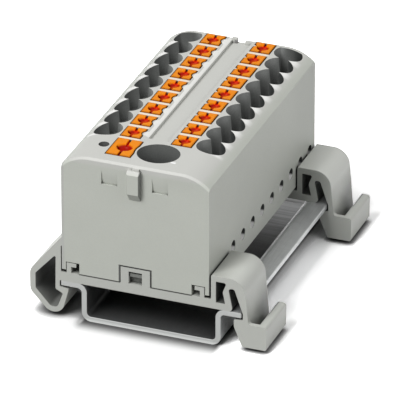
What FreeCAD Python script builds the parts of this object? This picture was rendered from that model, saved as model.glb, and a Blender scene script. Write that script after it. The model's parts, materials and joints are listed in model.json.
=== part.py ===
import FreeCAD, Part
import math
import os

# Power distribution block with push-in terminals, seated on a piece of
# top hat rail. Millimetres, +Z up, +Y along the rail. The origin is in the
# middle of the rail's underside.

# Rail: standard top hat section, 35 mm wide and 7.5 mm high
rail_width = 35.0
hat_width = 27.0
rail_height = 7.5
sheet = 1.0
rail_bend = 0.8

# Block as a whole
block_length = 55.0
block_x = -3.0
front_y = -block_length / 2
rear_y = block_length / 2
foot_depth = 10.3
plate_thickness = 1.85

# Housing
housing_width = 28.56
housing_top = 33.6
flat_half = 8.8
shoulder_drop = 2.2
wall = 1.2
tongue_lift = 0.6
edge_bevel = 0.4
seam_bevel = 0.15
chamber_top = 24.0
partition = 0.8
web_half = 2.1
core_half = 1.1
dimple_radius = 1.15
dimple_depth = 1.3
dimple_z = 13.95
wall_left = block_x - housing_width / 2
wall_right = block_x + housing_width / 2

# Hooks that join a foot to the housing
hook_gap = 0.15
hook_inset = 0.92
hook_stem = 0.86
hook_cap = 1.86
hook_room = 0.62
hook_top = 11.44
hook_cap_height = 0.79
hook_outer = housing_width / 2 - hook_inset
tab_half = 3.0
window_half = 1.3
tab_height = 3.4
tab_depth = 1.0

# Hollow of the housing, inside the walls that the hooks stand in
hook_wall = 0.58
opening_half = hook_outer - hook_cap - hook_room - hook_wall

# Terminal rows: as many as fit between the main terminal and the rear wall
pitch = 5.0
row_start = 12.25
row_end = 2.7
positions = 1 + int((block_length - row_start - row_end) / pitch)
first_y = front_y + row_start
last_y = first_y + pitch * (positions - 1)
cell_half = (pitch - partition) / 2
last_cell_end = last_y + cell_half
row_offset = 4.94
button_x = 3.62
button_y = 3.75
funnel_offset = 9.95
funnel_radius = 2.68
funnel_throat_radius = 1.4
funnel_throat_offset = opening_half - funnel_throat_radius
well_wall_depth = 4.6
well_floor_radius = 2.56
well_rear_wall = 1.15
funnel_depth = 7.0

# Main terminal
main_y = front_y + 6.05
main_button_offset = -4.405
main_button_x = 4.62
main_button_y = 6.3
entry_offset = 2.24
entry_half_x = 4.0
entry_half_y = 3.65
entry_throat = 2.8
entry_depth = 6.5
test_offset = -8.33
test_radius = 1.0

main_chamber_left = 0.7 - opening_half
main_chamber_right = 7.6

# Buttons
button_travel = 1.3
button_gap = 0.23
button_rise = 0.15
collar_lip = 0.45
collar_height = 1.4
collar_rest_gap = 0.3
nose_height = 0.7
left_key_radius = 1.2
left_key_depth = 0.45
left_key_shift = 0.25
right_key_radius = 0.5
right_key_depth = 0.4
right_key_shift = 0.5
well_radius = 1.2
well_depth = 0.8
slot_width = 0.55
slot_depth = 0.55

# Marking trough between the rows
trough_half = 1.95
trough_bevel = 0.75
trough_bevel_drop = 0.4
trough_depth = 1.0
trough_front = front_y + 11.0
lug_length = 0.7
lug_width = 1.0
low_lug_width = 1.35
low_lug_drop = 0.35

# Metal parts
bar_thickness = 0.8
bar_half = opening_half - 0.1
bar_underside = 11.0
bar_bend = 0.4
tab_width = 3.8
tab_top = 21.0
bar_wall = 0.6
spring_thickness = 0.35
spring_width = 2 * (row_end - wall)
main_spring_thickness = 0.5
main_spring_width = 5.6
spring_bend = 1.0
spring_crown = 19.42
spring_tip = 14.6

# Foot
arm_gap = 0.2
lever_gap = 0.3
post_gap = 0.37
finger_depth = 6.32
lip_top = 5.45
plate_underside = rail_height
plate_top = plate_underside + plate_thickness
seat_gap = 0.25


def vector(x, y, z):
    return FreeCAD.Vector(x, y, z)


def box(x0, x1, y0, y1, z0, z1):
    return Part.makeBox(x1 - x0, y1 - y0, z1 - z0, vector(x0, y0, z0))


def rounded_wire(corners):
    """Closed wire in the XZ plane from (x, z, radius) corners."""
    count = len(corners)
    starts = []
    arcs = []
    for index in range(count):
        x, z, radius = corners[index]
        before = corners[index - 1]
        after = corners[(index + 1) % count]
        back = vector(before[0] - x, 0, before[1] - z)
        ahead = vector(after[0] - x, 0, after[1] - z)
        back.normalize()
        ahead.normalize()
        here = vector(x, 0, z)
        if radius < 1e-6:
            starts.append((here, here))
            arcs.append(None)
            continue
        half = back.getAngle(ahead) / 2
        reach = radius / math.tan(half)
        bisector = back + ahead
        bisector.normalize()
        centre = here + bisector * (radius / math.sin(half))
        start = here + back * reach
        end = here + ahead * reach
        middle = centre - bisector * radius
        starts.append((start, end))
        arcs.append(Part.Arc(start, middle, end).toShape())
    edges = []
    for index in range(count):
        if arcs[index]:
            edges.append(arcs[index])
        start = starts[index][1]
        end = starts[(index + 1) % count][0]
        if start.distanceToPoint(end) > 1e-5:
            edges.append(Part.makeLine(start, end))
    return Part.Wire(edges)


def prism(corners, y0, y1):
    """Solid from a rounded profile, between two stations along the rail."""
    wire = rounded_wire(corners)
    wire.translate(vector(0, y0, 0))
    return Part.Face(wire).extrude(vector(0, y1 - y0, 0))


def strip_corners(path, thickness, bend):
    """Outline of a bent sheet strip that follows a centre path."""
    half = thickness / 2
    left = []
    right = []
    for index, (x, z) in enumerate(path):
        here = vector(x, 0, z)
        normals = []
        turn = 0.0
        if index > 0:
            step = here - vector(path[index - 1][0], 0, path[index - 1][1])
            step.normalize()
            normals.append(vector(-step.z, 0, step.x))
        if index < len(path) - 1:
            ahead = vector(path[index + 1][0], 0, path[index + 1][1]) - here
            ahead.normalize()
            normals.append(vector(-ahead.z, 0, ahead.x))
        if len(normals) == 2:
            total = normals[0] + normals[1]
            total.normalize()
            mitre = total * (half / total.dot(normals[0]))
            turn = step.x * ahead.z - step.z * ahead.x
        else:
            mitre = normals[0] * half
        inner = max(bend - half, 0.0)
        outer = bend + half
        left_radius = 0.0
        right_radius = 0.0
        if abs(turn) > 1e-6:
            left_radius = inner if turn > 0 else outer
            right_radius = outer if turn > 0 else inner
        left.append((here.x + mitre.x, here.z + mitre.z, left_radius))
        right.append((here.x - mitre.x, here.z - mitre.z, right_radius))
    return left + right[::-1]


def station(index):
    return first_y + pitch * index


def mirrored(corners, side):
    """Profile moved to one side of the block's centre line."""
    return [(block_x + side * x, z, radius) for x, z, radius in corners]


# Rail

def din_rail():
    half = rail_width / 2
    web = hat_width / 2 - sheet / 2
    low = sheet / 2
    high = rail_height - sheet / 2
    path = [(-half, high), (-web, high), (-web, low), (web, low), (web, high), (half, high)]
    corners = strip_corners(path, sheet, rail_bend + sheet / 2)
    rail = prism(corners, front_y, rear_y)
    long_edges = []
    for edge in rail.Edges:
        ends = [vertex.Point for vertex in edge.Vertexes]
        along = len(ends) == 2 and abs(ends[0].y - ends[1].y) > block_length - 1
        if along and abs(abs(ends[0].x) - half) < 1e-4:
            long_edges.append(edge)
    return rail.makeFillet(0.2, long_edges)


# Feet

def foot_outline():
    arm = wall_left - arm_gap
    flange_face = -rail_width / 2 - seat_gap
    lever_face = rail_width / 2 + lever_gap
    flange_under = rail_height - sheet
    finger = wall_left - finger_depth
    post = wall_right + post_gap
    post_top = plate_top + 4.85
    slit_top = plate_top + 2.8
    left = [
        (wall_left, plate_top + 7.2, 0.0),
        (finger, 8.7, 2.5),
        (finger + 0.05, 4.45, 2.0),
        (flange_face - 0.2, -1.3, 2.15),
        (flange_face + 1.65, flange_under - 0.95, 0.4),
        (flange_face + 1.65, flange_under - 0.5, 0.15),
        (flange_face, flange_under - 0.25, 0.15),
        (flange_face, plate_underside, 0.1),
    ]
    right = [
        (post + 4.2, plate_underside, 0.7),
        (post + 3.3, slit_top, 0.5),
        (post + 4.5, slit_top, 0.5),
        (lever_face, plate_underside - 0.1, 0.6),
        (lever_face, flange_under - 0.3, 0.15),
        (lever_face - 1.75, flange_under - 0.5, 0.15),
        (lever_face - 1.75, 4.6, 1.5),
        (lever_face - 0.15, 0.71, 0.5),
        (lever_face + 4.5, 0.71, 0.4),
        (lever_face + 4.55, lip_top, 0.55),
        (lever_face + 1.05, lip_top, 0.6),
        (post + 6.35, post_top, 3.2),
        (post, post_top, 0.15),
        (post, plate_top, 0.0),
    ]
    stem_out = block_x + hook_outer
    stem_in = stem_out - hook_stem
    cap_in = stem_out - hook_cap
    cap_low = hook_top - hook_cap_height
    right_hook = [
        (stem_out, plate_top, 0.1),
        (stem_out, hook_top, 0.1),
        (cap_in, hook_top, 0.1),
        (cap_in, cap_low, 0.1),
        (stem_in, cap_low, 0.1),
        (stem_in, plate_top, 0.1),
    ]
    left_hook = [(2 * block_x - x, z, radius) for x, z, radius in right_hook[::-1]]
    arm_side = [
        (arm, plate_top, 0.1),
        (arm, plate_top + 5.2, 0.0),
        (wall_left, plate_top + 5.4, 0.0),
    ]
    return left + right + right_hook + left_hook + arm_side


def foot(y0, outer_y):
    """Rail foot. The tab stands on the face that looks out of the block."""
    y1 = y0 + foot_depth
    body = prism(foot_outline(), y0, y1)
    flange_face = -rail_width / 2 - seat_gap
    finger_wall = wall_left - finger_depth + 1.09
    hollow_top = wall_left - 1.22
    post = wall_right + post_gap
    lever_face = rail_width / 2 + lever_gap
    grip_hollow = [
        (hollow_top, plate_top + 3.25, 0.2),
        (min(hollow_top, flange_face - 0.75) - 0.1, 5.6, 0.4),
        (flange_face + 0.6, 4.85, 0.3),
        (flange_face - 0.5, 1.85, 0.8),
        (flange_face - 1.85, 1.85, 0.8),
        (finger_wall, 5.1, 0.8),
        (finger_wall, 8.15, 0.5),
    ]
    pocket_top = plate_top + 3.77
    pocket_floor = plate_top - 0.55
    spring_pocket = [
        (post + 0.92, pocket_top, 0.1),
        (post + 3.0, pocket_top, 0.35),
        (post + 2.25, pocket_top - 1.92, 1.0),
        (post + 2.75, pocket_floor, 0.1),
        (post + 0.92, pocket_floor, 0.1),
    ]
    for hollow in (grip_hollow, spring_pocket):
        body = body.cut(prism(hollow, y0 - 1, y1 + 1))
    groove_far = lever_face + 3.0
    tool_groove = [
        (lever_face + 0.92, lip_top + 1.0, 0.0),
        (lever_face + 1.3, 2.0, 0.85),
        (groove_far, 2.0, 0.85),
        (groove_far, lip_top + 1.0, 0.0),
    ]
    body = body.cut(prism(tool_groove, y0 + 0.9, y1 + 1))
    inward = 1 if outer_y < 0 else -1
    faces = sorted((outer_y, outer_y + inward * tab_depth))
    left = block_x - tab_half + hook_gap
    right = block_x + tab_half - hook_gap
    tab = box(left, right, faces[0], faces[1], plate_top - 0.5, plate_top + tab_height)
    window = box(
        block_x - window_half, block_x + window_half, faces[0] - 1, faces[1] + 1,
        plate_top + 0.05, plate_top + 2.55)
    return body.fuse(tab).cut(window).removeSplitter()


# Housing

def housing_shell():
    half = housing_width / 2
    side_top = housing_top - shoulder_drop
    run = half - flat_half
    radius = (run ** 2 + shoulder_drop ** 2) / (2 * shoulder_drop)
    angle = math.asin(run / radius) / 2
    tongue = plate_top + tongue_lift
    notch_out = hook_outer + hook_gap
    notch_in = hook_outer - hook_cap - hook_room
    notch_top = hook_top + hook_gap
    lower = [
        (half, tongue), (notch_out, tongue), (notch_out, notch_top),
        (notch_in, notch_top), (notch_in, plate_top)]
    left_low = [(-x, z) for x, z in lower[::-1]]
    points = [vector(block_x + x, front_y, z) for x, z in lower + left_low]
    edges = [Part.makeLine(points[index], points[index + 1]) for index in range(len(points) - 1)]
    left_shoulder = vector(block_x - half, front_y, side_top)
    right_shoulder = vector(block_x + half, front_y, side_top)
    left_flat = vector(block_x - flat_half, front_y, housing_top)
    right_flat = vector(block_x + flat_half, front_y, housing_top)
    bow = radius * math.sin(angle)
    sink = radius * (1 - math.cos(angle))
    left_bow = vector(block_x - flat_half - bow, front_y, housing_top - sink)
    right_bow = vector(block_x + flat_half + bow, front_y, housing_top - sink)
    edges.append(Part.makeLine(points[-1], left_shoulder))
    edges.append(Part.Arc(left_shoulder, left_bow, left_flat).toShape())
    edges.append(Part.makeLine(left_flat, right_flat))
    edges.append(Part.Arc(right_flat, right_bow, right_shoulder).toShape())
    edges.append(Part.makeLine(right_shoulder, points[0]))
    shell = Part.Face(Part.Wire(edges)).extrude(vector(0, block_length, 0))
    rims = []
    for edge in shell.Edges:
        bounds = edge.BoundBox
        flat_end = bounds.YLength < 1e-6
        if flat_end and bounds.ZMin > side_top - 0.01:
            rims.append(edge)
    shell = shell.makeChamfer(edge_bevel, rims)
    seams = []
    for edge in shell.Edges:
        bounds = edge.BoundBox
        lies_low = bounds.ZLength < 1e-6 and bounds.ZMax < tongue + 0.01
        at_end = bounds.YLength < 1e-6 and bounds.XLength > 1.0
        if lies_low and at_end and bounds.ZMax < plate_top + 0.01:
            seams.append(edge)
    return shell.makeChamfer(seam_bevel, seams)


def funnel(side, y):
    """Wire entry: a steep well, then a skewed cone that leads to the narrow throat."""
    throat_z = housing_top - funnel_depth
    floor_z = housing_top - well_wall_depth
    rise = 1.0
    spread = (funnel_radius - well_floor_radius) * rise / well_wall_depth
    axis = vector(block_x + side * funnel_offset, y, floor_z)
    well = Part.makeCone(well_floor_radius, funnel_radius + spread, well_wall_depth + rise, axis)
    wide = Part.makeCircle(well_floor_radius, axis)
    throat_x = block_x + side * funnel_throat_offset
    narrow = Part.makeCircle(funnel_throat_radius, vector(throat_x, y, throat_z))
    cone = Part.makeLoft([Part.Wire(narrow), Part.Wire(wide)], True, True)
    throat = Part.makeCylinder(
        funnel_throat_radius, throat_z - chamber_top + 1.0, vector(throat_x, y, chamber_top - 1.0))
    reach = funnel_radius + 1.0
    room = box(
        axis.x - reach, axis.x + reach, y - reach, min(y + reach, rear_y - well_rear_wall),
        throat_z - 1.0, housing_top + rise + 1.0)
    if y + reach > rear_y - well_rear_wall:
        well = well.common(room)
        cone = cone.common(room)
    return [well, cone, throat]


def main_entry():
    throat_z = housing_top - entry_depth
    centre_x = block_x + entry_offset
    ellipse = Part.Ellipse(vector(centre_x, main_y, housing_top), entry_half_x, entry_half_y)
    rim = Part.Wire(ellipse.toShape())
    neck_circle = Part.makeCircle(entry_throat, vector(centre_x, main_y, throat_z))
    cone = Part.makeLoft([Part.Wire(neck_circle), rim], True, True)
    cap = Part.Face(rim).extrude(vector(0, 0, 1))
    height = throat_z - chamber_top + 1.0
    throat = Part.makeCylinder(entry_throat, height, vector(centre_x, main_y, chamber_top - 1.0))
    return cone.fuse([cap, throat])


def button_shaft(side, y, grow, z0, z1):
    """Small button section: a rectangle with a round key on its inner side, unlike in each row."""
    half_x = button_x / 2 + grow
    half_y = button_y / 2 + grow
    centre = block_x + side * row_offset
    body = box(centre - half_x, centre + half_x, y - half_y, y + half_y, z0, z1)
    radius, depth, shift = left_key_radius, left_key_depth, left_key_shift
    if side > 0:
        radius, depth, shift = right_key_radius, right_key_depth, right_key_shift
    key_x = centre - side * (button_x / 2 + radius - depth)
    key = Part.makeCylinder(radius - grow, z1 - z0 + 2, vector(key_x, y + shift, z0 - 1))
    return body.cut(key)


def main_shaft(grow, z0, z1):
    """Main button section: a rectangle with one side hollowed round the wire entry."""
    centre = block_x + main_button_offset
    half_x = main_button_x / 2 + grow
    half_y = main_button_y / 2 + grow
    body = box(centre - half_x, centre + half_x, main_y - half_y, main_y + half_y, z0, z1)
    clear_radius = entry_half_x + 0.55 - grow
    bite = Part.makeCylinder(clear_radius, z1 - z0 + 2, vector(block_x + entry_offset, main_y, z0 - 1))
    return body.cut(bite)


def chambers():
    """Hollows for springs, bar and buttons, joined below the partitions."""
    bar_top = bar_underside + bar_thickness
    low = bar_top + 0.3
    tools = []
    inner_front = front_y + wall
    inner_rear = rear_y - wall
    tools.append(box(
        block_x - opening_half, block_x + opening_half, inner_front, inner_rear, plate_top - 1, low))
    half_y = cell_half
    for side in (-1, 1):
        for index in range(positions):
            y = station(index)
            xs = sorted((block_x + side * web_half, block_x + side * opening_half))
            tools.append(box(xs[0], xs[1], y - half_y, y + half_y, low - 0.1, chamber_top))
    main_end = first_y - half_y - 0.6
    tools.append(box(
        block_x + main_chamber_left, block_x + main_chamber_right, inner_front, main_end,
        low - 0.1, chamber_top))
    core_front = trough_front + 0.5
    tools.append(box(
        block_x - core_half, block_x + core_half, core_front, inner_rear, low - 0.1, 30.5))
    return tools


def front_rib():
    """Upright key on the front face, with a foot that runs out into the wall."""
    half = 1.25
    stand = 1.2
    face = front_y
    side_profile = [
        (face + 0.5, 26.6), (face, 26.6), (face - stand, 28.3),
        (face - stand, 32.2), (face - stand + 0.6, 32.8), (face + 0.5, 32.8)]
    points = [vector(block_x - half, y, z) for y, z in side_profile]
    rib = Part.Face(Part.makePolygon(points + points[:1])).extrude(vector(2 * half, 0, 0))
    step = box(block_x - 0.3, block_x + 0.95, face - 0.5, face + 0.5, 32.7, housing_top - edge_bevel)
    corners = []
    for edge in rib.Edges:
        bounds = edge.BoundBox
        if bounds.XLength < 1e-6 and bounds.ZLength > 1.5 and bounds.YMax < face + 0.1:
            corners.append(edge)
    return rib.makeFillet(0.3, corners).fuse(step)


def wedge_recess(offset):
    """Shallow pocket in the front face, deepest at its lower edge."""
    half = 1.55
    left = block_x + offset - half
    profile = [(front_y - 0.1, 28.8), (front_y + 0.5, 28.8), (front_y - 0.1, 32.3)]
    points = [vector(left, y, z) for y, z in profile]
    return Part.Face(Part.makePolygon(points + points[:1])).extrude(vector(2 * half, 0, 0))


def housing():
    body = housing_shell()
    body = body.fuse(front_rib())
    cuts = chambers()
    for side in (-1, 1):
        for index in range(positions):
            y = station(index)
            cuts.append(button_shaft(side, y, button_gap, chamber_top - 0.5, housing_top + 1))
            cuts.extend(funnel(side, y))
            floor_x = block_x + side * (housing_width / 2 - dimple_depth)
            cuts.append(Part.makeCylinder(
                dimple_radius, dimple_depth + 1.0, vector(floor_x, y, dimple_z), vector(side, 0, 0)))
    cuts.append(main_shaft(button_gap, chamber_top - 0.5, housing_top + 1))
    cuts.append(main_entry())
    cuts.append(Part.makeCylinder(
        test_radius, housing_top - chamber_top + 2, vector(block_x + test_offset, main_y, chamber_top - 1)))
    floor = housing_top - trough_depth
    cuts.append(prism([
        (block_x - trough_half, floor, 0.0),
        (block_x + trough_half, floor, 0.0),
        (block_x + trough_half, housing_top - trough_bevel_drop, 0.0),
        (block_x + trough_half + trough_bevel, housing_top, 0.0),
        (block_x + trough_half + trough_bevel, housing_top + 0.5, 0.0),
        (block_x - trough_half - trough_bevel, housing_top + 0.5, 0.0),
        (block_x - trough_half - trough_bevel, housing_top, 0.0),
        (block_x - trough_half, housing_top - trough_bevel_drop, 0.0),
    ], trough_front, rear_y + 1))
    for offset in (-4.95, 4.85):
        cuts.append(wedge_recess(offset))
    for face, inward in ((front_y, 1), (rear_y, -1)):
        ys = sorted((face - inward, face + inward * (tab_depth + hook_gap)))
        top = plate_top + tab_height + hook_gap
        cuts.append(box(block_x - tab_half, block_x + tab_half, ys[0], ys[1], plate_top - 1, top))
    body = body.cut(cuts)
    floor = housing_top - trough_depth
    lug_front = rear_y - lug_length
    edge = block_x - trough_half
    other = block_x + trough_half
    noses = [
        box(edge - 0.1, edge + lug_width, lug_front, rear_y, floor - 0.1, housing_top - 0.05),
        box(other - low_lug_width, other + 0.1, lug_front, rear_y, floor - 0.1, housing_top - low_lug_drop),
    ]
    for face, inward in ((front_y, 1), (rear_y, -1)):
        ys = (face + inward * 0.35, face + inward * (tab_depth + hook_gap + 0.05))
        profile = [
            (ys[1], plate_top + 1.0), (ys[0], plate_top + 1.4),
            (ys[0], plate_top + 2.1), (ys[1], plate_top + 2.4)]
        nose_half = window_half - 0.15
        points = [vector(block_x - nose_half, y, z) for y, z in profile]
        noses.append(Part.Face(Part.makePolygon(points + points[:1])).extrude(vector(2 * nose_half, 0, 0)))
    return body.fuse(noses).removeSplitter()


def bottom_cover():
    """Cover between the feet. It closes the hollow of the housing from below."""
    half = opening_half - 0.1
    y0 = front_y + foot_depth + 0.3
    y1 = rear_y - foot_depth - 0.3
    plate = box(block_x - half, block_x + half, y0, y1, plate_top, plate_top + 1.0)
    ribs = []
    for offset in (-6.0, 0.0, 6.0):
        x = block_x + offset
        ribs.append(box(x - 0.5, x + 0.5, y0 + 1, y1 - 1, plate_top + 0.9, bar_underside))
    return plate.fuse(ribs).removeSplitter()


# Metal parts

def busbar():
    """One folded bar with a contact tab for each terminal."""
    middle = bar_underside + bar_thickness / 2
    base_half = bar_half - bar_wall
    y0 = first_y - cell_half + 0.05
    y1 = last_cell_end - 0.65
    base = box(
        block_x - base_half, block_x + base_half, front_y + wall + 0.2, y1,
        bar_underside, bar_underside + bar_thickness)
    sides = []
    for side in (-1, 1):
        blade = bar_half - bar_thickness / 2
        path = [(base_half - 1.0, middle), (blade, middle), (blade, tab_top)]
        corners = mirrored(strip_corners(path, bar_thickness, bar_bend + bar_thickness / 2), side)
        sides.append(prism(corners, y0, y1))
    slots = []
    gap = pitch - tab_width
    for side in (-1, 1):
        for index in range(positions - 1):
            y = station(index) + pitch / 2
            xs = sorted((block_x + side * (base_half - 1.5), block_x + side * (bar_half + 1)))
            slots.append(box(
                xs[0], xs[1], y - gap / 2, y + gap / 2, bar_underside + bar_thickness, tab_top + 1))
    tab_x = block_x + entry_offset + entry_throat + 0.9
    path = [(tab_x - 2.5 - block_x, middle), (tab_x - block_x, middle), (tab_x - block_x, tab_top)]
    corners = mirrored(strip_corners(path, bar_thickness, bar_bend + bar_thickness / 2), 1)
    main_tab = prism(corners, main_y - 3.1, main_y + 3.1)
    bar = base.fuse(sides).cut(slots)
    return bar.fuse(main_tab).removeSplitter()


def clamp_spring(side, y):
    low = bar_underside + bar_thickness + spring_thickness / 2
    inner = web_half + 0.65
    tip = opening_half - 1.35
    path = [
        (tip - 1.95, low), (inner, low), (inner, spring_crown),
        (row_offset + 0.46, spring_crown), (tip, spring_tip)]
    corners = mirrored(strip_corners(path, spring_thickness, spring_bend), side)
    return prism(corners, y - spring_width / 2, y + spring_width / 2)


def main_spring():
    low = bar_underside + bar_thickness + main_spring_thickness / 2
    leg = main_chamber_left + 1.3
    tip = entry_offset + entry_throat
    path = [
        (-1.0, low), (leg, low), (leg, spring_crown),
        (-3.4, spring_crown), (tip - 0.04, spring_tip - 0.2)]
    corners = mirrored(strip_corners(path, main_spring_thickness, spring_bend), 1)
    return prism(corners, main_y - main_spring_width / 2, main_y + main_spring_width / 2)


# Buttons

def tool_recess(x, y, scale, top, front, rear):
    """Round well with a cross slot. The long slot runs out at both edges."""
    radius = well_radius * scale
    half = slot_width / 2
    well = Part.makeCone(radius * 0.6, radius, well_depth, vector(x, y, top - well_depth))
    mouth = Part.makeCylinder(radius, 1.0, vector(x, y, top))
    across = box(x - radius, x + radius, y - half, y + half, top - well_depth, top + 1)
    along = box(x - half, x + half, front, rear, top - slot_depth, top + 1)
    return well.fuse([mouth, across, along])


def collar(x0, x1, y0, y1):
    top = chamber_top - collar_rest_gap
    return box(x0, x1, y0, y1, top - collar_height, top)


def small_button(side, y):
    top = housing_top + button_rise
    under = chamber_top - collar_rest_gap - collar_height
    centre = block_x + side * row_offset
    half_x = button_x / 2 + collar_lip
    half_y = button_y / 2
    body = button_shaft(side, y, 0.0, under + 0.2, top)
    lip = collar(centre - half_x, centre + half_x, y - half_y + 0.05, y + half_y - 0.05)
    nose_profile = [
        (row_offset - 1.4, under + 0.3, 0.0), (row_offset + 1.4, under + 0.3, 0.0),
        (row_offset + 1.1, under - nose_height, 0.3), (row_offset - 0.2, under - nose_height, 0.3)]
    nose = prism(mirrored(nose_profile, side), y - half_y + 0.3, y + half_y - 0.3)
    recess = tool_recess(centre, y, 1.0, top, y - half_y - 1, y + half_y + 1)
    return body.fuse([lip, nose]).cut(recess).removeSplitter()


def main_button():
    top = housing_top + button_rise
    under = chamber_top - collar_rest_gap - collar_height
    centre = block_x + main_button_offset
    half_x = main_button_x / 2
    half_y = main_button_y / 2
    body = main_shaft(0.0, under + 0.2, top)
    lip = collar(
        centre - half_x - collar_lip, centre + half_x - 0.2, main_y - half_y + 0.05, main_y + half_y - 0.05)
    nose_low = under - nose_height
    nose_profile = [
        (main_button_offset - 1.8, under + 0.3, 0.0), (main_button_offset + 1.8, under + 0.3, 0.0),
        (main_button_offset + 1.5, nose_low, 0.4), (main_button_offset - 0.2, nose_low, 0.4)]
    nose = prism(mirrored(nose_profile, 1), main_y - half_y + 0.5, main_y + half_y - 0.5)
    recess = tool_recess(centre + 0.1, main_y, 1.3, top, main_y - half_y - 1, main_y + half_y + 1)
    return body.fuse([lip, nose]).cut(recess).removeSplitter()


def parts():
    shapes = {
        "din_rail": din_rail(),
        "front_foot": foot(front_y, front_y),
        "rear_foot": foot(rear_y - foot_depth, rear_y),
        "housing": housing(),
        "bottom_cover": bottom_cover(),
        "current_bar": busbar(),
        "main_spring": main_spring(),
        "main_button": main_button(),
    }
    for letter, side in (("l", -1), ("r", 1)):
        for index in range(positions):
            name = letter + str(index + 1)
            shapes["spring_" + name] = clamp_spring(side, station(index))
            shapes["button_" + name] = small_button(side, station(index))
    return shapes


os.makedirs("parts", exist_ok=True)
for name, shape in parts().items():
    if shape.ShapeType == "Compound" and len(shape.Solids) == 1:
        shape = shape.Solids[0]
    shape.exportStep("parts/" + name + ".step")
    print(name, len(shape.Solids), round(shape.Volume, 2), shape.isValid())
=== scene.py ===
"""Looks of a power distribution block: moulded housing, rail feet, orange buttons, rail.

Lengths are written in millimetres and turned to metres where a mesh or a node needs them.
Colours are written as 0 to 255 screen values. A mask is 1 where a mark lies and 0 elsewhere,
and the pairs of numbers in it say where each of its soft edges starts and ends.
"""
import json
import math

import bmesh
import bpy
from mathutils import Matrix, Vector

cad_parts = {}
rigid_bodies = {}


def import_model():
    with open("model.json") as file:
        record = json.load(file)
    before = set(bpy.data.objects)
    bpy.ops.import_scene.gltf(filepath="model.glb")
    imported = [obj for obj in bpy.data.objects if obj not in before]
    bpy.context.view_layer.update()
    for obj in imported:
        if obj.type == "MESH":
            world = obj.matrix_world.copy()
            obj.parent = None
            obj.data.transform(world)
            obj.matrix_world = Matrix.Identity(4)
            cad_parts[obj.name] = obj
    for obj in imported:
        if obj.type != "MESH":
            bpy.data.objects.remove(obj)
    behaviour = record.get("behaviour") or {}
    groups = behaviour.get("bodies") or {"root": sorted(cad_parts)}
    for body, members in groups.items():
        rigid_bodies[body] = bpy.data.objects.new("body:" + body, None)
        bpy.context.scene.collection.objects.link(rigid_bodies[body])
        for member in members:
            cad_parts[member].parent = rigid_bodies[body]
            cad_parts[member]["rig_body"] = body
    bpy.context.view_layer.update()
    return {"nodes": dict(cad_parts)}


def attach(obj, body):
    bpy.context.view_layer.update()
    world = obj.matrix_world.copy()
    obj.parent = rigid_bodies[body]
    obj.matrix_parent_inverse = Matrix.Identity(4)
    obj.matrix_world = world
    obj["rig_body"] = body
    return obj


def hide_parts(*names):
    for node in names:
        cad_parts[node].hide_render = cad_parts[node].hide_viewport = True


MM = 0.001

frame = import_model()

# The housing, as its solid has it.
BLOCK_X = -3.0
FRONT_Y = -27.5
REAR_Y = 27.5
HOUSING_TOP = 33.6
SIDE_OFFSET = 14.28
TROUGH_HALF = 1.95
DIMPLE_Z = 13.95
DIMPLE_RADIUS = 1.15

# WELL_REACH, ENTRY_HALF and TEST_REACH below are 0.05 more than the openings' own sizes,
# so that the corners on the openings' rims count as inside.

# The two rows of terminals.
PITCH = 5.0
POSITIONS = 9
FIRST_Y = FRONT_Y + 12.25
ROW_OFFSET = 4.94
BUTTON_TOP = HOUSING_TOP + 0.15
BUTTON_HALF = (1.81, 1.875)
WELL_OFFSET = 9.95
WELL_REACH = 2.73
WELL_FOOT_Z = HOUSING_TOP - 9.7

# The feed terminal and the test socket.
MAIN_Y = FRONT_Y + 6.05
MAIN_BUTTON_OFFSET = 4.405
MAIN_BUTTON_HALF = (2.31, 3.15)
ENTRY_X = BLOCK_X + 2.24
ENTRY_HALF = (4.05, 3.7)
TEST_X = BLOCK_X - 8.33
TEST_REACH = 1.05

# The feet and the rail.
PLATE_TOP = 9.35
TAB_HALF = 3.0
TAB_TOP = PLATE_TOP + 3.4
SEAM_HALF = 10.9
FOOT_DEPTH = 10.3
BEND_X = 11.45
LEVER_X = (18.0, 21.2)
OPENING_X = 12.35
OPENING_SLOPE = 20.0
OPENING_Z = (7.45, 13.45)
GRIP_OUTLINE = (
    (-18.35, 12.95), (-18.4, 5.7), (-17.0, 4.95), (-18.15, 1.7), (-19.7, 1.7), (-22.68, 5.05), (-22.68, 8.2))
RAIL_FOOT_HALF = 12.7

# The clamp springs: centre line in x and z, seen along the row.
CLAMP_PATH = ((7.0, 11.975), (2.75, 11.975), (2.75, 19.42), (5.40, 19.42), (8.95, 14.6))
CLAMP_SHEET = 0.35
CLAMP_WIDTH = 3.0
CLAMP_BEND = 1.0

# Angles between faces that count as flat, as smooth and as an edge to round.
FLAT_ANGLE = math.radians(0.6)
SMOOTH_ANGLE = math.radians(29)
EDGE_ANGLE = math.radians(35)

# Widths of the rounded edges.
FOOT_EDGE = 0.2
RAIL_EDGE = 0.08
BUTTON_EDGE = 0.05

# A face is a wall where its normal points up by less than this, or where it lies this deep.
WALL_NORMAL = 0.3
WALL_Z = HOUSING_TOP - 2.0

# Light: the sky, the floor with its half width in metres, its brightness as seen, raised as painted light at
# the open end and beyond, and as it lights the object, and the lamps with places and sizes in metres and
# power in watts.
SKY_LIGHT = 0.30
FLOOR_HALF = 3.0
FLOOR_SHOWN = 1.8
FLOOR_OPEN_END = 2.0
FLOOR_BEYOND = 2.6
FLOOR_BOUNCE = 0.2
LAMP_AIM = Vector((0.0, 0.0, 0.018))
LAMPS = (
    ("key_lamp", (-0.35, -0.75, 0.95), 0.6, 12.2),
    ("fill_lamp", (1.1, -0.35, 0.8), 0.9, 4.3),
)

# The painted contact shadow on the floor: its reach on the left and on the right, how steeply it falls, its
# darkest value, and the least value under the grip.
CONTACT_REACH = (3.2, 1.2)
CONTACT_POWER = 3.8
CONTACT_DARKEST = 0.09
UNDER_GRIP_LEAST = 0.3


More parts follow.
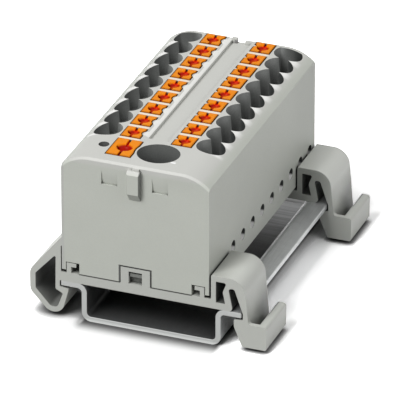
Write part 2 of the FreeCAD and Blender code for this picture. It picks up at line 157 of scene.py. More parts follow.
def linear(red, green, blue):
    """Linear colour from 0 to 255 screen values."""
    def one(value):
        value = value / 255
        return value / 12.92 if value <= 0.04045 else ((value + 0.055) / 1.055) ** 2.4
    return (one(red), one(green), one(blue), 1.0)


def even(value):
    """Grey of this linear brightness."""
    return (value, value, value, 1.0)


# Node helpers

def new_finish(name):
    """An empty node material, ready for a shader."""
    finish = bpy.data.materials.new(name)
    finish.use_nodes = True
    finish.node_tree.nodes.clear()
    return finish


def add(tree, kind, settings=None, **inputs):
    """Adds a shader node, sets its options, and sets or links its inputs, by name or as _number."""
    item = tree.nodes.new("ShaderNode" + kind)
    for key, value in (settings or {}).items():
        setattr(item, key, value)
    for key, value in inputs.items():
        socket = item.inputs[int(key[1:]) if key.startswith("_") else key.replace("_", " ")]
        if isinstance(value, bpy.types.NodeSocket):
            tree.links.new(value, socket)
        else:
            socket.default_value = value
    return item


def calc(tree, operation, first, second=0.0, third=0.0):
    """One step of arithmetic on sockets or numbers."""
    return add(tree, "Math", {"operation": operation}, _0=first, _1=second, _2=third).outputs[0]


def product(tree, first, *others):
    """All the factors multiplied."""
    for other in others:
        first = calc(tree, "MULTIPLY", first, other)
    return first


def larger(tree, first, second):
    """The larger of two."""
    return calc(tree, "MAXIMUM", first, second)


def smaller(tree, first, second):
    """The smaller of two."""
    return calc(tree, "MINIMUM", first, second)


def off(tree, value, centre=0.0):
    """Distance of the value from the centre, to either side."""
    return calc(tree, "ABSOLUTE", calc(tree, "SUBTRACT", value, centre) if centre else value)


def distance(tree, first, second):
    """Length of a flat vector with these two parts."""
    squares = calc(tree, "ADD", product(tree, first, first), product(tree, second, second))
    return calc(tree, "SQRT", squares)


def fade(tree, value, low, high, start=0.0, end=1.0):
    """Smooth step of value: start up to low, end from high on."""
    item = add(tree, "MapRange", {"interpolation_type": "SMOOTHSTEP"}, Value=value,
               From_Min=low, From_Max=high, To_Min=start, To_Max=end)
    return item.outputs["Result"]


def fall(tree, value, low, high, end=0.0):
    """Smooth step of value from 1 at low down to end at high."""
    return fade(tree, value, low, high, 1.0, end)


def band(tree, value, rise, drop):
    """1 between two soft edges; rise and drop say where each edge starts and ends."""
    return product(tree, fade(tree, value, *rise), fall(tree, value, *drop))


def mix_colour(tree, amount, first, second, blend="MIX"):
    """The first colour, replaced by the second as far as amount says."""
    item = tree.nodes.new("ShaderNodeMix")
    item.data_type = "RGBA"
    item.blend_type = blend
    for index, value in ((0, amount), (6, first), (7, second)):
        if isinstance(value, bpy.types.NodeSocket):
            tree.links.new(value, item.inputs[index])
        else:
            item.inputs[index].default_value = value
    return item.outputs[2]


def blend_of(tree, amount, first, second):
    """From one screen colour to another."""
    return mix_colour(tree, amount, linear(*first), linear(*second))


def paint(tree, colour, mask, screen):
    """The colour, with a screen colour laid over it where the mask is 1."""
    return mix_colour(tree, mask, colour, linear(*screen))


def dimmed(tree, colour, amount):
    """The colour times the amount."""
    grey = add(tree, "CombineColor", Red=amount, Green=amount, Blue=amount).outputs[0]
    return mix_colour(tree, 1.0, colour, grey, "MULTIPLY")


def place_in_mm(tree):
    """Object coordinates in millimetres: the vector and its three parts."""
    where = add(tree, "TexCoord").outputs["Object"]
    scaled = add(tree, "VectorMath", {"operation": "SCALE"}, _0=where, Scale=1000.0).outputs[0]
    parts = add(tree, "SeparateXYZ", Vector=scaled).outputs
    return scaled, parts[0], parts[1], parts[2]


def stretched(tree, where, scale):
    """Coordinates scaled by axis, for a pattern that is drawn out along one of them."""
    return add(tree, "Mapping", {"vector_type": "POINT"}, Vector=where, Scale=scale).outputs[0]


def grain(tree, where, scale, detail=3.0, rough=0.55):
    """Noise of so many spots a millimetre, 0 to 1."""
    return add(tree, "TexNoise", {"noise_dimensions": "3D"}, Vector=where, Scale=scale,
               Detail=detail, Roughness=rough).outputs["Fac"]


def specks(tree, where, scale):
    """Fine hard specks of a moulding's skin, 0 to 1."""
    return grain(tree, where, scale, detail=2.0, rough=0.7)


def speckled(tree, colour, speck, screen, low=0.35, high=0.75, most=0.22):
    """The colour, with a little of a screen colour in its specks."""
    return paint(tree, colour, fade(tree, speck, low, high, 0.0, most), screen)


def dulled(tree, pattern, smooth, rough):
    """Roughness that runs with a pattern between two values."""
    return fade(tree, pattern, 0.2, 0.8, smooth, rough)


def shelter(tree, reach, samples=8):
    """1 in the open, falling to 0 in gaps and hollows whose walls are nearer than reach, in metres."""
    node = add(tree, "AmbientOcclusion", {"samples": samples, "only_local": False}, Distance=reach)
    return node.outputs["AO"]


def shaded(tree, colour, reach, low, high, darkest):
    """The colour with painted shade, darkened down to darkest in the gaps narrower than reach."""
    return dimmed(tree, colour, fade(tree, shelter(tree, reach * MM), low, high, darkest, 1.0))


def moulded_surface(tree, where, spark_height=0.004, sink_height=0.10):
    """Fine spark-eroded skin of the mould and its very slight sink marks, as one normal."""
    spark = grain(tree, where, 4.5, detail=4.0, rough=0.6)
    sink = grain(tree, where, 0.10, detail=1.0, rough=0.4)
    low = add(tree, "Bump", Strength=1.0, Distance=sink_height * MM, Height=sink)
    high = add(tree, "Bump", Strength=1.0, Distance=spark_height * MM, Height=spark, Normal=low.outputs[0])
    return high.outputs[0]


def close_finish(finish, colour, roughness, normal, metal=None, **fixed):
    """Joins colour, roughness and normal to one principled shader and the output."""
    tree = finish.node_tree
    shader = add(tree, "BsdfPrincipled", Base_Color=colour, Roughness=roughness, Normal=normal, **fixed)
    if metal is not None:
        tree.links.new(metal, shader.inputs["Metallic"])
    add(tree, "OutputMaterial", Surface=shader.outputs[0])
    return finish


# Where on the block a point is

def nearest_station(tree, y):
    """Distance along the rail from the nearest terminal position."""
    step = calc(tree, "ROUND", calc(tree, "DIVIDE", calc(tree, "SUBTRACT", y, FIRST_Y), PITCH))
    step = smaller(tree, larger(tree, step, 0.0), POSITIONS - 1.0)
    return calc(tree, "SUBTRACT", y, calc(tree, "MULTIPLY_ADD", step, PITCH, FIRST_Y))


def on_left(tree, x):
    """1 on the left half of the housing."""
    return fall(tree, x, BLOCK_X - 1.0, BLOCK_X + 1.0)


def land_tip_highlight_mask(tree, x, y, z):
    """1 on the tips of the lands between neighbouring wells, on their outer side, longer in the left row,
    where a highlight is painted.
    """
    between = fade(tree, off(tree, nearest_station(tree, y)), 1.2, 2.1)
    out = off(tree, x, BLOCK_X)
    shortened = calc(tree, "MULTIPLY_ADD", on_left(tree, x), -1.1, out)
    tip = product(tree, fade(tree, out, 10.6, 11.0), fall(tree, shortened, 11.9, 13.4))
    in_rows = band(tree, y, (FIRST_Y - 3.0, FIRST_Y - 2.0), (REAR_Y - 1.8, REAR_Y - 0.8))
    return product(tree, between, tip, in_rows, fade(tree, z, HOUSING_TOP - 1.4, HOUSING_TOP - 1.2))


def trough_edge_highlight_mask(tree, x, y, z):
    """1 on the pale strip along the left edge of the marking trough, a painted highlight on its bevel, wider
    at each terminal.
    """
    edge = BLOCK_X - TROUGH_HALF
    swell = fall(tree, off(tree, nearest_station(tree, y), 0.1), 0.5, 1.3)
    left = calc(tree, "MULTIPLY_ADD", swell, -0.5, edge - 0.62)
    inside = product(tree, fade(tree, calc(tree, "SUBTRACT", x, left), 0.0, 0.12),
                     fall(tree, x, edge - 0.06, edge + 0.02))
    behind_entry = fade(tree, y, FRONT_Y + 11.6, FRONT_Y + 12.2)
    return product(tree, inside, behind_entry, fade(tree, z, HOUSING_TOP - 0.5, HOUSING_TOP - 0.4))


def seam_mask(tree, x, y, z):
    """1 in the thin dark joint between housing and foot, where it shows on the end faces."""
    across = off(tree, x, BLOCK_X)
    level = product(tree, fall(tree, off(tree, z, PLATE_TOP + 0.03), 0.10, 0.16),
                    band(tree, across, (TAB_HALF - 0.1, TAB_HALF), (SEAM_HALF, SEAM_HALF + 0.1)))
    upright = product(tree, fall(tree, off(tree, across, TAB_HALF + 0.07), 0.13, 0.18),
                      band(tree, z, (PLATE_TOP - 0.05, PLATE_TOP), (TAB_TOP + 0.2, TAB_TOP + 0.25)))
    top = product(tree, fall(tree, off(tree, z, TAB_TOP + 0.07), 0.13, 0.18),
                  fall(tree, across, TAB_HALF + 0.2, TAB_HALF + 0.25))
    line = larger(tree, level, larger(tree, upright, top))
    return product(tree, line, fade(tree, off(tree, y), REAR_Y - 0.35, REAR_Y - 0.2))


def bridge_mask(tree, x, y, z):
    """1 on the narrow lands between neighbouring buttons, and behind the large one."""
    off_row = off(tree, off(tree, x, BLOCK_X), ROW_OFFSET)
    between = band(tree, off(tree, nearest_station(tree, y)), (1.9, 2.1), (3.0, 3.3))
    past_first = larger(tree, fade(tree, y, FIRST_Y - 1.8, FIRST_Y - 1.6), on_left(tree, x))
    at_top = fade(tree, z, HOUSING_TOP - 0.4, HOUSING_TOP - 0.2)
    return product(tree, between, fall(tree, off_row, 1.6, 2.3), past_first, at_top)


def key_side_mask(tree, x, y):
    """1 on the shaded right side of the upright key on the front face."""
    right = band(tree, x, (BLOCK_X + 1.02, BLOCK_X + 1.12), (BLOCK_X + 1.6, BLOCK_X + 1.7))
    return product(tree, right, fall(tree, y, FRONT_Y - 0.06, FRONT_Y - 0.01))


def entry_highlight_mask(tree, x, y, z):
    """1 on the small painted highlight on the land in front of the main entry."""
    along = fall(tree, off(tree, x, BLOCK_X + 5.97), 0.35, 0.6)
    across = fall(tree, off(tree, y, FRONT_Y + 3.7), 0.15, 0.35)
    return product(tree, along, across, fade(tree, z, HOUSING_TOP - 0.6, HOUSING_TOP - 0.4))


def lug_mask(tree, x, y, z):
    """1 on the shaded faces of the lug at the far left end of the marking trough."""
    edge = BLOCK_X - TROUGH_HALF
    wide = band(tree, x, (edge + 0.35, edge + 0.7), (edge + 1.02, edge + 1.05))
    deep = band(tree, y, (REAR_Y - 0.8, REAR_Y - 0.72), (REAR_Y - 0.1, REAR_Y - 0.05))
    high = band(tree, z, (HOUSING_TOP - 1.1, HOUSING_TOP - 1.05), (HOUSING_TOP - 0.5, HOUSING_TOP - 0.1))
    return product(tree, wide, deep, high)


def window_shade_mask(tree, x, y, z):
    """1 on the catch that shows inside the small window of each foot, where shade is painted."""
    across = fall(tree, off(tree, x, BLOCK_X), 1.4, 1.5)
    deep = band(tree, off(tree, y), (REAR_Y - 2.0, REAR_Y - 1.9), (REAR_Y - 0.3, REAR_Y - 0.2))
    return product(tree, across, deep, fall(tree, z, TAB_TOP, TAB_TOP + 0.1))


# Paint by place

def housing_light_and_shade(tree, colour, x, y, z):
    """Painted light and shade: paler on the top, painted shade on the low and far parts of the right side,
    greyer along the left edge.
    """
    across = calc(tree, "SUBTRACT", x, BLOCK_X)
    top = fade(tree, z, HOUSING_TOP - 1.6, HOUSING_TOP - 0.9, 0.0, 0.8)
    colour = paint(tree, colour, top, (203, 203, 199))
    low_or_far = larger(tree, fall(tree, z, 9.0, 20.0), fade(tree, y, 8.0, 26.0))
    right_side = fade(tree, across, SIDE_OFFSET - 0.2, SIDE_OFFSET - 0.05)
    below_top = fall(tree, z, HOUSING_TOP - 3.0, HOUSING_TOP - 1.0)
    colour = paint(tree, colour, product(tree, low_or_far, right_side, below_top), (184, 187, 180))
    left_edge = fade(tree, across, 0.35 - SIDE_OFFSET, 0.6 - SIDE_OFFSET, 0.7, 0.0)
    return paint(tree, colour, left_edge, (186, 187, 184))


def dimple_light_and_shade(tree, colour, x, y, z):
    """The pits along the sides: painted light on the pale lower wall, painted shade on everything above it.
    """
    height = calc(tree, "SUBTRACT", z, DIMPLE_Z)
    reach = distance(tree, nearest_station(tree, y), height)
    in_wall = band(tree, off(tree, x, BLOCK_X), (SIDE_OFFSET - 1.5, SIDE_OFFSET - 1.4),
                   (SIDE_OFFSET - 0.12, SIDE_OFFSET - 0.04))
    inside = product(tree, in_wall, fall(tree, reach, DIMPLE_RADIUS + 0.02, DIMPLE_RADIUS + 0.06))
    wall = blend_of(tree, fall(tree, height, -0.75, -0.35), (60, 62, 61), (254, 254, 253))
    return mix_colour(tree, inside, colour, wall)


def seam_paint(tree, colour, x, y, z):
    """The dark line of the joint between housing and foot."""
    return paint(tree, colour, product(tree, seam_mask(tree, x, y, z), 0.8), (44, 45, 44))


def lever_light_and_shade(tree, colour, x, y, z):
    """The lever side of each foot, in painted light and shade: a painted highlight on the bend, paler on the
    rear foot, painted shade down the lever, on the front of the rear foot and in the openings under the bend.
    """
    rear = fade(tree, y, -0.5, 0.5)
    along = calc(tree, "SUBTRACT", calc(tree, "MULTIPLY_ADD", rear, FOOT_DEPTH - 2 * REAR_Y, y), FRONT_Y)
    off_ends = band(tree, along, (0.12, 0.25), (FOOT_DEPTH - 0.25, FOOT_DEPTH - 0.12))
    bend = product(tree, fade(tree, z, 9.5, 13.0), fade(tree, x, BEND_X, BEND_X + 0.15), off_ends)
    # Painted highlight on the bend, paler on the rear foot.
    bend_highlight = blend_of(tree, fade(tree, x, BEND_X + 0.25, BEND_X + 4.55), (168, 170, 164), (199, 201, 195))
    bend_highlight = paint(tree, bend_highlight, rear, (222, 224, 218))
    colour = mix_colour(tree, bend, colour, bend_highlight)
    # Painted shade down the lever.
    down = product(tree, fall(tree, z, 5.5, 11.5), fade(tree, along, 1.5, 8.5))
    down = larger(tree, down, fade(tree, z, 4.4, 6.5, 0.5, 0.0))
    inner, outer = LEVER_X
    across = band(tree, x, (inner, inner + 0.3), (outer - 0.3, outer))
    lever = product(tree, across, fade(tree, along, 0.9, 1.1), off_ends)
    colour = paint(tree, colour, product(tree, lever, down), (108, 110, 106))
    # Painted shade on the front face of the rear foot.
    rear_front_shade = product(tree, rear, fall(tree, along, 0.12, 0.25), fall(tree, x, 15.0, 20.0, 0.3))
    colour = paint(tree, colour, rear_front_shade, (156, 158, 153))
    # Painted shade in the openings under the bend.
    slope = calc(tree, "MULTIPLY_ADD", z, 0.25, x)
    low, high = OPENING_Z
    opening = product(tree, fade(tree, x, OPENING_X, OPENING_X + 0.1),
                      fall(tree, slope, OPENING_SLOPE - 0.05, OPENING_SLOPE + 0.05),
                      band(tree, z, (low, low + 0.15), (high - 0.1, high)), off_ends)
    return paint(tree, colour, opening, (88, 90, 87))


# Finishes

def housing_finish():
    """Grey moulding, with its paler and darker places painted where the photograph has them."""
    finish = new_finish("grey_moulded_housing")
    tree = finish.node_tree
    where, x, y, z = place_in_mm(tree)
    speck = specks(tree, where, 5.0)
    colour = blend_of(tree, grain(tree, where, 0.16, detail=2.0), (194, 197, 189), (200, 203, 195))
    colour = speckled(tree, colour, speck, (184, 187, 179))
    # Painted light on the top, painted shade on the low and far right side.
    colour = housing_light_and_shade(tree, colour, x, y, z)
    # Painted highlight on the bevel along the trough's left edge.
    colour = paint(tree, colour, trough_edge_highlight_mask(tree, x, y, z), (237, 237, 233))
    colour = paint(tree, colour, key_side_mask(tree, x, y), (112, 114, 110))
    # Painted highlight on the land in front of the main entry.
    colour = paint(tree, colour, entry_highlight_mask(tree, x, y, z), (250, 250, 249))
    # Painted highlights on the tips of the lands between the wells.
    colour = paint(tree, colour, land_tip_highlight_mask(tree, x, y, z), (243, 243, 240))
    colour = paint(tree, colour, bridge_mask(tree, x, y, z), (240, 228, 212))
    colour = paint(tree, colour, lug_mask(tree, x, y, z), (128, 126, 126))
    # Painted shade on the catch inside each foot's window.
    colour = paint(tree, colour, product(tree, window_shade_mask(tree, x, y, z), 0.75), (84, 86, 84))
    # Painted shade in the narrow gaps.
    colour = shaded(tree, colour, reach=1.6, low=0.10, high=0.62, darkest=0.05)
    colour = seam_paint(tree, colour, x, y, z)
    # Painted light and shade in the pits along the sides.
    colour = dimple_light_and_shade(tree, colour, x, y, z)
    rough = dulled(tree, speck, 0.46, 0.58)
    return close_finish(finish, colour, rough, moulded_surface(tree, where), Specular_IOR_Level=0.3)


def well_finish():
    """Inside of the wire wells, the main entry and the test socket: matt, in painted light and shade, dark in
    the main entry and on the outer walls, paler at the inner rim as a painted highlight.
    """
    finish = new_finish("shaded_wire_well")
    tree = finish.node_tree
    where, x, y, z = place_in_mm(tree)
    speck = specks(tree, where, 5.0)
    from_centre = off(tree, x, BLOCK_X)
    in_rows = product(tree, fade(tree, y, FIRST_Y - 3.0, FIRST_Y - 2.8), fade(tree, from_centre, 6.6, 6.8))
    # Painted light and shade by depth: the main entry darker downwards, the wells paler downwards.
    depth = blend_of(tree, in_rows, (62, 64, 63), (136, 138, 136))
    colour = paint(tree, depth, fade(tree, z, HOUSING_TOP - 5.5, HOUSING_TOP - 0.2), (104, 106, 104))
    # Painted shade on the outer walls of the right row.
    outer = fade(tree, x, BLOCK_X + WELL_OFFSET - 0.6, BLOCK_X + WELL_OFFSET + 1.7)
    colour = paint(tree, colour, outer, (60, 62, 61))
    # Painted highlight near the top of the inner rim.
    inner = product(tree, fall(tree, from_centre, WELL_OFFSET - 2.3, WELL_OFFSET - 0.4),
                    fade(tree, z, HOUSING_TOP - 3.0, HOUSING_TOP - 0.3), in_rows)
    colour = paint(tree, colour, inner, (158, 160, 158))
    colour = speckled(tree, colour, speck, (48, 50, 49), low=0.3, high=0.8, most=0.25)
    rough = dulled(tree, speck, 0.6, 0.75)
    return close_finish(finish, colour, rough, moulded_surface(tree, where), Specular_IOR_Level=0.12)


def foot_finish():
    """Grey moulding of the feet and the cover, a little warmer and glossier than the housing, with painted
    light and shade on the lever side and painted shade in its gaps.
    """
    finish = new_finish("grey_moulded_foot")
    tree = finish.node_tree
    where, x, y, z = place_in_mm(tree)
    speck = specks(tree, where, 6.0)
    colour = blend_of(tree, grain(tree, where, 0.22, detail=2.0), (186, 188, 182), (194, 196, 190))
    colour = speckled(tree, colour, speck, (176, 178, 171))
    colour = lever_light_and_shade(tree, colour, x, y, z)
    colour = shaded(tree, colour, reach=1.9, low=0.12, high=0.58, darkest=0.04)
    colour = seam_paint(tree, colour, x, y, z)
    rough = dulled(tree, speck, 0.40, 0.52)
    return close_finish(finish, colour, rough, moulded_surface(tree, where), Specular_IOR_Level=0.45)


def grip_finish():
    """Walls of the grip opening: the feet's grey in painted shade, sheltered, darkest at its upper inner
    corner.
    """
    finish = new_finish("shaded_grip_opening")
    tree = finish.node_tree
    where, x, _, z = place_in_mm(tree)
    speck = specks(tree, where, 6.0)
    # Painted shade, darkest at the upper inner corner.
    rise = calc(tree, "MULTIPLY_ADD", x, 0.6, z)
    colour = blend_of(tree, fade(tree, rise, -10.5, -2.5), (126, 128, 124), (110, 112, 109))
    colour = paint(tree, colour, fade(tree, rise, -2.8, 0.2), (58, 60, 58))
    colour = speckled(tree, colour, speck, (92, 94, 91))
    colour = shaded(tree, colour, reach=7.0, low=0.0, high=0.6, darkest=0.4)
    rough = dulled(tree, speck, 0.5, 0.62)
    return close_finish(finish, colour, rough, moulded_surface(tree, where), Specular_IOR_Level=0.2)


def recess_light_and_shade(tree, lean_x, lean_y, z, half_y):
    """Deep red of the tool recess in painted light and shade: crimson in painted shade at its mouth, orange
    as painted light down its slope, a brighter red in its slot.
    """
    sunk = calc(tree, "SUBTRACT", BUTTON_TOP, z)
    turn = fade(tree, calc(tree, "MULTIPLY_ADD", lean_x, 0.2, sunk), half_y * 0.25, half_y * 0.62)
    red = blend_of(tree, turn, (164, 12, 0), (236, 104, 30))
    return paint(tree, red, fade(tree, lean_y, half_y * 0.42, half_y * 0.5), (236, 48, 6))


def button_finish(name, small, button_offset, half):
    """Orange button: a bright face, a darker rim and brown where the sides go down as painted shade, deep red
    in the tool recess as painted light and shade.
    """
    finish = new_finish(name)
    tree = finish.node_tree
    half_x, half_y = half
    where, x, y, z = place_in_mm(tree)
    cloud = grain(tree, where, 0.5, detail=2.0)
    speck = specks(tree, where, 6.0)
    colour = blend_of(tree, cloud, (238, 134, 0), (243, 148, 4))
    colour = speckled(tree, colour, speck, (226, 112, 0), low=0.4, high=0.8, most=0.2)
    from_middle = calc(tree, "SUBTRACT", x, BLOCK_X)
    row = calc(tree, "SIGN", from_middle) if small else -1.0
    lean_x = calc(tree, "SUBTRACT", from_middle, calc(tree, "MULTIPLY", row, button_offset))
    lean_y = nearest_station(tree, y) if small else calc(tree, "SUBTRACT", y, MAIN_Y)
    dx = off(tree, off(tree, from_middle), button_offset)
    dy = off(tree, lean_y)
    # Painted shade: a darker rim along the button's edges.
    rim = larger(tree, fade(tree, dx, half_x - 0.32, half_x - 0.06),
                 fade(tree, dy, half_y - 0.32, half_y - 0.06))
    colour = paint(tree, colour, product(tree, rim, 0.55), (176, 104, 8))
    # Painted light and shade in the tool recess, below the face.
    below = fall(tree, z, BUTTON_TOP - 0.45, BUTTON_TOP - 0.05)
    colour = mix_colour(tree, below, colour, recess_light_and_shade(tree, lean_x, lean_y, z, half_y))
    # Painted shade, brown, down the sides.
    side = larger(tree, fade(tree, dx, half_x - 0.5, half_x - 0.4),
                  fade(tree, dy, half_y - 0.12, half_y - 0.08))
    brown = blend_of(tree, cloud, (118, 58, 8), (92, 42, 4))
    colour = mix_colour(tree, product(tree, below, side), colour, brown)
    colour = shaded(tree, colour, reach=0.9, low=0.10, high=0.6, darkest=0.65)
    rough = dulled(tree, speck, 0.36, 0.48)
    normal = moulded_surface(tree, where, spark_height=0.003, sink_height=0.06)
    return close_finish(finish, colour, rough, normal, Specular_IOR_Level=0.1)


def rail_channel(tree, colour, bands, y):
    """The rail's inside: painted shade, dark in front, and painted light in streaks towards the rear."""
    channel_shade = paint(tree, colour, 0.72, (54, 55, 56))
    channel_shade = shaded(tree, channel_shade, reach=14.0, low=0.06, high=0.95, darkest=0.05)
    streaks = fade(tree, bands, 0.38, 0.62, 0.65, 1.0)
    return paint(tree, channel_shade, product(tree, fade(tree, y, 3.0, 25.0), streaks), (150, 151, 151))


def rail_finish():
    """Zinc plate on rolled strip: fine lines along the rail, cloudy crystals, rougher on the cut ends."""
    finish = new_finish("zinc_plated_rail")
    tree = finish.node_tree
    where, x, y, z = place_in_mm(tree)
    lines = grain(tree, stretched(tree, where, (1.0, 0.03, 1.0)), 9.0, detail=4.0, rough=0.6)
    bands = grain(tree, stretched(tree, where, (0.04, 1.0, 1.0)), 1.1, rough=0.7)
    colour = blend_of(tree, grain(tree, where, 0.5), (188, 190, 190), (212, 214, 214))
    colour = paint(tree, colour, fade(tree, lines, 0.3, 0.75, 0.0, 0.35), (164, 166, 166))
    colour = paint(tree, colour, fade(tree, bands, 0.5, 0.72, 0.0, 0.14), (140, 142, 142))
    # Painted shade inside the channel, painted light in streaks towards the rear.
    channel = rail_channel(tree, colour, bands, y)
    colour = shaded(tree, colour, reach=4.0, low=0.05, high=0.6, darkest=0.15)
    colour = mix_colour(tree, fall(tree, off(tree, x), 12.6, 13.4), colour, channel)
    # The cut ends, paler towards the bottom as a painted highlight.
    end = fade(tree, off(tree, y), REAR_Y - 0.13, REAR_Y - 0.10)
    cut = blend_of(tree, fade(tree, z, 0.1, 0.9), (238, 240, 238), (196, 198, 196))
    colour = mix_colour(tree, end, colour, cut)
    rough = calc(tree, "MULTIPLY_ADD", end, 0.2, dulled(tree, lines, 0.34, 0.50))
    metal = calc(tree, "MULTIPLY_ADD", end, -0.45, 0.5)
    bump = add(tree, "Bump", Strength=1.0, Distance=0.004 * MM, Height=lines)
    return close_finish(finish, colour, rough, bump.outputs[0], metal)


def copper_finish():
    """Tinned copper, the copper showing through in clouds."""
    finish = new_finish("tinned_copper_bar")
    tree = finish.node_tree
    where = place_in_mm(tree)[0]
    cloud = grain(tree, where, 0.8)
    colour = blend_of(tree, fade(tree, cloud, 0.35, 0.7), (206, 190, 172), (196, 150, 120))
    rough = dulled(tree, cloud, 0.28, 0.42)
    bump = add(tree, "Bump", Strength=1.0, Distance=0.003 * MM, Height=grain(tree, where, 8.0))
    return close_finish(finish, colour, rough, bump.outputs[0], Metallic=1.0)


def spring_finish():
    """Rolled spring steel with fine lines along the strip."""
    finish = new_finish("bright_spring_steel")
    tree = finish.node_tree
    where = place_in_mm(tree)[0]
    lines = grain(tree, stretched(tree, where, (1.0, 8.0, 1.0)), 3.0)
    colour = blend_of(tree, lines, (178, 178, 176), (200, 200, 198))
    rough = dulled(tree, lines, 0.24, 0.38)
    bump = add(tree, "Bump", Strength=1.0, Distance=0.002 * MM, Height=lines)
    return close_finish(finish, colour, rough, bump.outputs[0], Metallic=1.0)


# Pieces

def in_well(spot):
    """True on the round walls of the wire wells and the test socket."""
    if not WELL_FOOT_Z <= spot.z <= HOUSING_TOP + 0.01:
        return False
    station = FIRST_Y + PITCH * max(0, min(POSITIONS - 1, round((spot.y - FIRST_Y) / PITCH)))
    reach = math.hypot(abs(spot.x - BLOCK_X) - WELL_OFFSET, spot.y - station)
    socket = math.hypot(spot.x - TEST_X, spot.y - MAIN_Y)
    return reach < WELL_REACH or socket < TEST_REACH


def in_entry(spot):
    """True on the walls of the main entry."""
    if not WELL_FOOT_Z <= spot.z <= HOUSING_TOP + 0.01:
        return False
    return math.hypot((spot.x - ENTRY_X) / ENTRY_HALF[0], (spot.y - MAIN_Y) / ENTRY_HALF[1]) < 1.0


def in_opening(spot):
    """True on the walls of every opening in the housing's top."""
    return in_well(spot) or in_entry(spot)


def in_grip(spot):
    """True on the walls of the grip opening at the left of a foot."""
    inside = False
    for index, (x1, z1) in enumerate(GRIP_OUTLINE):
        x0, z0 = GRIP_OUTLINE[index - 1]
        if (z0 > spot.z) != (z1 > spot.z) and spot.x < x0 + (spot.z - z0) * (x1 - x0) / (z1 - z0):
            inside = not inside
    return inside


def welded_mesh(source, name):
    """A copy of a solid's mesh with its corners joined and its flat faces whole."""
    mesh = source.data.copy()
    mesh.name = name
    build = bmesh.new()
    build.from_mesh(mesh)
    bmesh.ops.remove_doubles(build, verts=build.verts, dist=1e-6)
    bmesh.ops.dissolve_limit(build, angle_limit=FLAT_ANGLE, verts=build.verts, edges=build.edges)
    build.to_mesh(mesh)
    build.free()
    for attribute in ("custom_normal", "sharp_face", "sharp_edge"):
        if attribute in mesh.attributes:
            mesh.attributes.remove(mesh.attributes[attribute])
    return mesh


def line_hollow(mesh, inner_finish, hollow):
    """Gives the inner finish to the walls whose corners all lie in the hollow."""
    mesh.materials.append(inner_finish)
    for face in mesh.polygons:
        spots = [mesh.vertices[index].co / MM for index in face.vertices]
        is_wall = face.normal.z < WALL_NORMAL or face.center.z / MM < WALL_Z
        face.material_index = 1 if is_wall and all(hollow(spot) for spot in spots) else 0


def round_edges(piece, width):
    """Small rounded edges all over the piece."""
    bevel = piece.modifiers.new("edge", "BEVEL")
    bevel.width = width * MM
    bevel.segments = 2
    bevel.limit_method = "ANGLE"
    bevel.angle_limit = EDGE_ANGLE
    bevel.harden_normals = True
    bevel.use_clamp_overlap = True


def even_normals(piece, group_name=""):
    """Shading that follows the large faces, only in the vertex group where one is named."""
    weigh = piece.modifiers.new("normals", "WEIGHTED_NORMAL")
    weigh.keep_sharp = True
    weigh.weight = 80
    weigh.vertex_group = group_name


def rounded_copy(node, name, finish, edge, inner_finish=None, hollow=None):
    """A finished, welded copy of a node's solid in its place, its edges rounded unless edge is 0."""
    source = frame["nodes"][node]
    mesh = welded_mesh(source, name)
    mesh.materials.clear()
    mesh.materials.append(finish)
    if hollow is not None:
        line_hollow(mesh, inner_finish, hollow)
    piece = bpy.data.objects.new(name, mesh)
    bpy.context.scene.collection.objects.link(piece)
    mesh.shade_smooth()
    mesh.set_sharp_from_angle(angle=SMOOTH_ANGLE)
    if edge:
        round_edges(piece, edge)
    if node == "housing":
        group = piece.vertex_groups.new(name="flat_sides")
        group.add([spot.index for spot in mesh.vertices if not in_well(spot.co / MM)], 1.0, "REPLACE")
        even_normals(piece, group.name)
    else:
        even_normals(piece)
    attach(piece, source["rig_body"])
    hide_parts(node)


def repaint(node, finish):
    """Gives a carried-over solid its finish."""
    node.data.materials.clear()
    node.data.materials.append(finish)


def dress_block():
    """Every piece of the block, with its finish."""
    foot_grey = foot_finish()
    grip = grip_finish()
    orange = button_finish("orange_button", True, ROW_OFFSET, BUTTON_HALF)
    main_orange = button_finish("orange_main_button", False, MAIN_BUTTON_OFFSET, MAIN_BUTTON_HALF)
    bright = spring_finish()
    housing_grey = housing_finish()
    well_shaded = well_finish()
    rounded_copy("housing", "housing_moulding", housing_grey, 0.0, well_shaded, in_opening)
    for foot in ("front_foot", "rear_foot"):
        rounded_copy(foot, foot + "_moulding", foot_grey, FOOT_EDGE, grip, in_grip)
    rounded_copy("din_rail", "rail_section", rail_finish(), RAIL_EDGE)
    for name in frame["nodes"]:
        if name.startswith("button_"):
            rounded_copy(name, name + "_cap", orange, BUTTON_EDGE)
    rounded_copy("main_button", "main_button_cap", main_orange, BUTTON_EDGE)
    repaint(frame["nodes"]["main_spring"], bright)
    repaint(frame["nodes"]["current_bar"], copper_finish())
    repaint(frame["nodes"]["bottom_cover"], foot_grey)
    lay_springs(bright)


# Clamp springs

def rounded_line(path, bend, steps=6):
    """The path with an arc in place of each inner corner."""
    line = [Vector(path[0])]
    for before, corner, after in zip(path, path[1:], path[2:]):
        corner = Vector(corner)
        enter = (Vector(before) - corner).normalized()
        leave = (Vector(after) - corner).normalized()
        half = enter.angle(leave) / 2
        setback = bend / math.tan(half)
        middle = corner + (enter + leave).normalized() * (bend / math.sin(half))
        start = corner + enter * setback - middle
        end = corner + leave * setback - middle
        swept = math.pi - 2 * half
        for step in range(steps + 1):
            share = step / steps
            arm = start * (math.sin((1 - share) * swept) / math.sin(swept))
            arm = arm + end * (math.sin(share * swept) / math.sin(swept))
            line.append(middle + arm)
    line.append(Vector(path[-1]))
    return line


